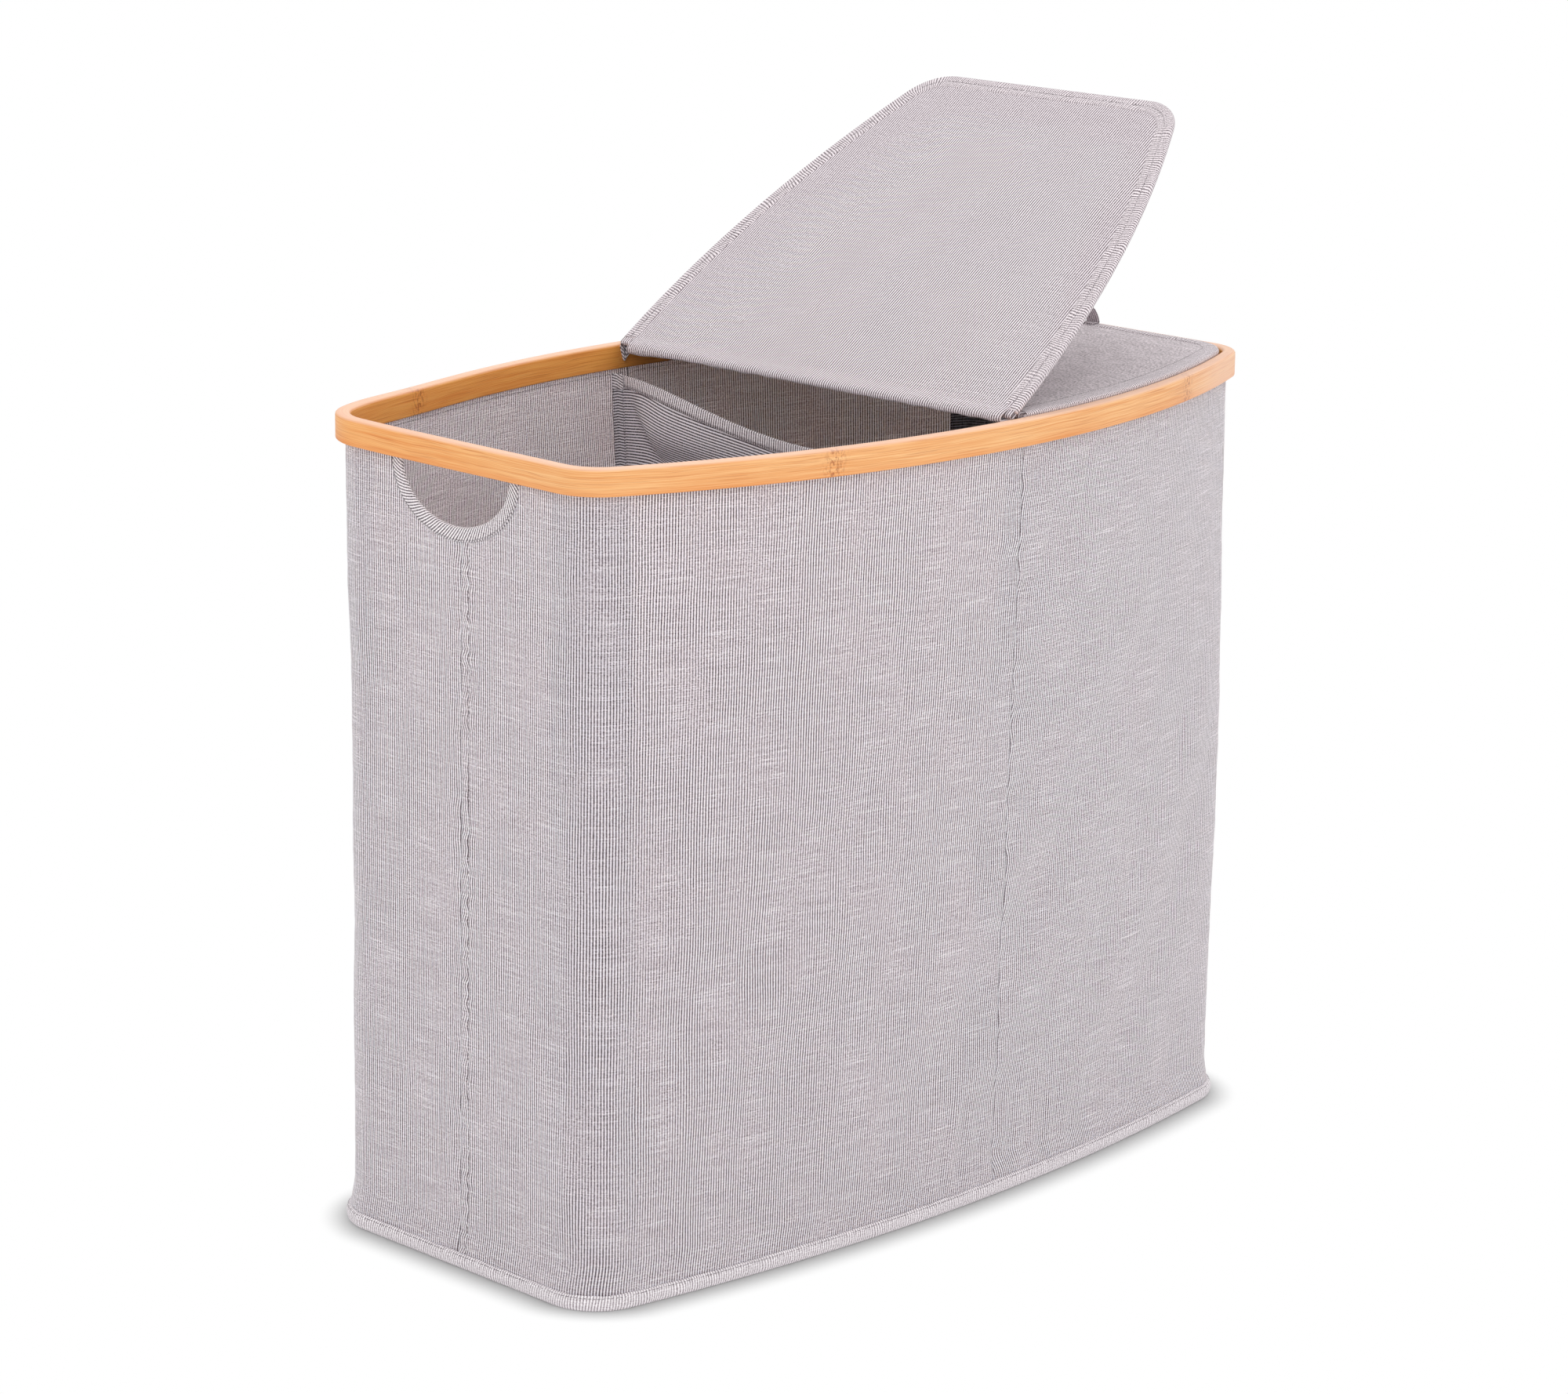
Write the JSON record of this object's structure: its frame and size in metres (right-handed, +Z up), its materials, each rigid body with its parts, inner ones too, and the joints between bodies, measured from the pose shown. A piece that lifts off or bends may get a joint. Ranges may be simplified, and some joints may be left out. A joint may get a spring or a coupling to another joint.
{
  "type": "laundry hamper",
  "caption": "Laundry hamper with a bent wooden rim, cloth walls, carrying holes, a cloth divider and a fabric-hinged half lid over each bin, one standing open.",
  "frame": {"origin": "on the floor under the middle of the bounding box", "axes": "+Z up, +X along the length towards the bin whose lid is closed, +Y across it"},
  "size_m": [0.678, 0.406, 0.767],
  "materials": {
    "bamboo": "satin, long straight grain",
    "striped_cloth": "plain weave with narrow light and dark stripes",
    "tape": "striped bias tape with one stitch line",
    "heathered_cloth": "heathered weave",
    "board": "pressed fibreboard",
    "rod": "drawn wire"
  },
  "bodies": {
    "hamper": {"rim_band": "bamboo", "hem_binding": "tape", "bottom_cloth": "striped_cloth", "divider_panel": "striped_cloth", "divider_top_binding": "tape", "hinge_strip": "tape", "divider_flange_front": "striped_cloth", "divider_flange_rear": "striped_cloth", "base_board_left": "board", "base_board_right": "board", "hole_tape_left": "tape", "hole_tape_right": "tape", "wall_front_left": "striped_cloth", "wall_front_right": "striped_cloth", "wall_rear_left": "striped_cloth", "wall_rear_right": "striped_cloth", "corner_rod_front_left": "rod", "corner_rod_front_right": "rod", "corner_rod_rear_left": "rod", "corner_rod_rear_right": "rod", "corner_sleeve_front_left": "striped_cloth", "corner_sleeve_front_right": "striped_cloth", "corner_sleeve_rear_left": "striped_cloth", "corner_sleeve_rear_right": "striped_cloth"},
    "lid_left": {"lid_board_left": "board", "lid_under_cloth_left": "striped_cloth", "lid_top_cloth_left": "heathered_cloth", "lid_binding_left": "tape", "pull_tab_left": "tape"},
    "lid_right": {"lid_board_right": "board", "lid_under_cloth_right": "striped_cloth", "lid_top_cloth_right": "heathered_cloth", "lid_binding_right": "tape", "pull_tab_right": "tape"}
  },
  "joints": [
    {"name": "lid_left_hinge", "type": "hinge", "parent": "hamper", "child": "lid_left", "pos_m": [-0.0022, 0, 0.5792], "axis": [0, 1, 0], "range_deg": [-144.4, 0]},
    {"name": "lid_right_hinge", "type": "hinge", "parent": "hamper", "child": "lid_right", "pos_m": [0.0093, 0, 0.5825], "axis": [0, -1, 0], "range_deg": [0, 27]}
  ]
}
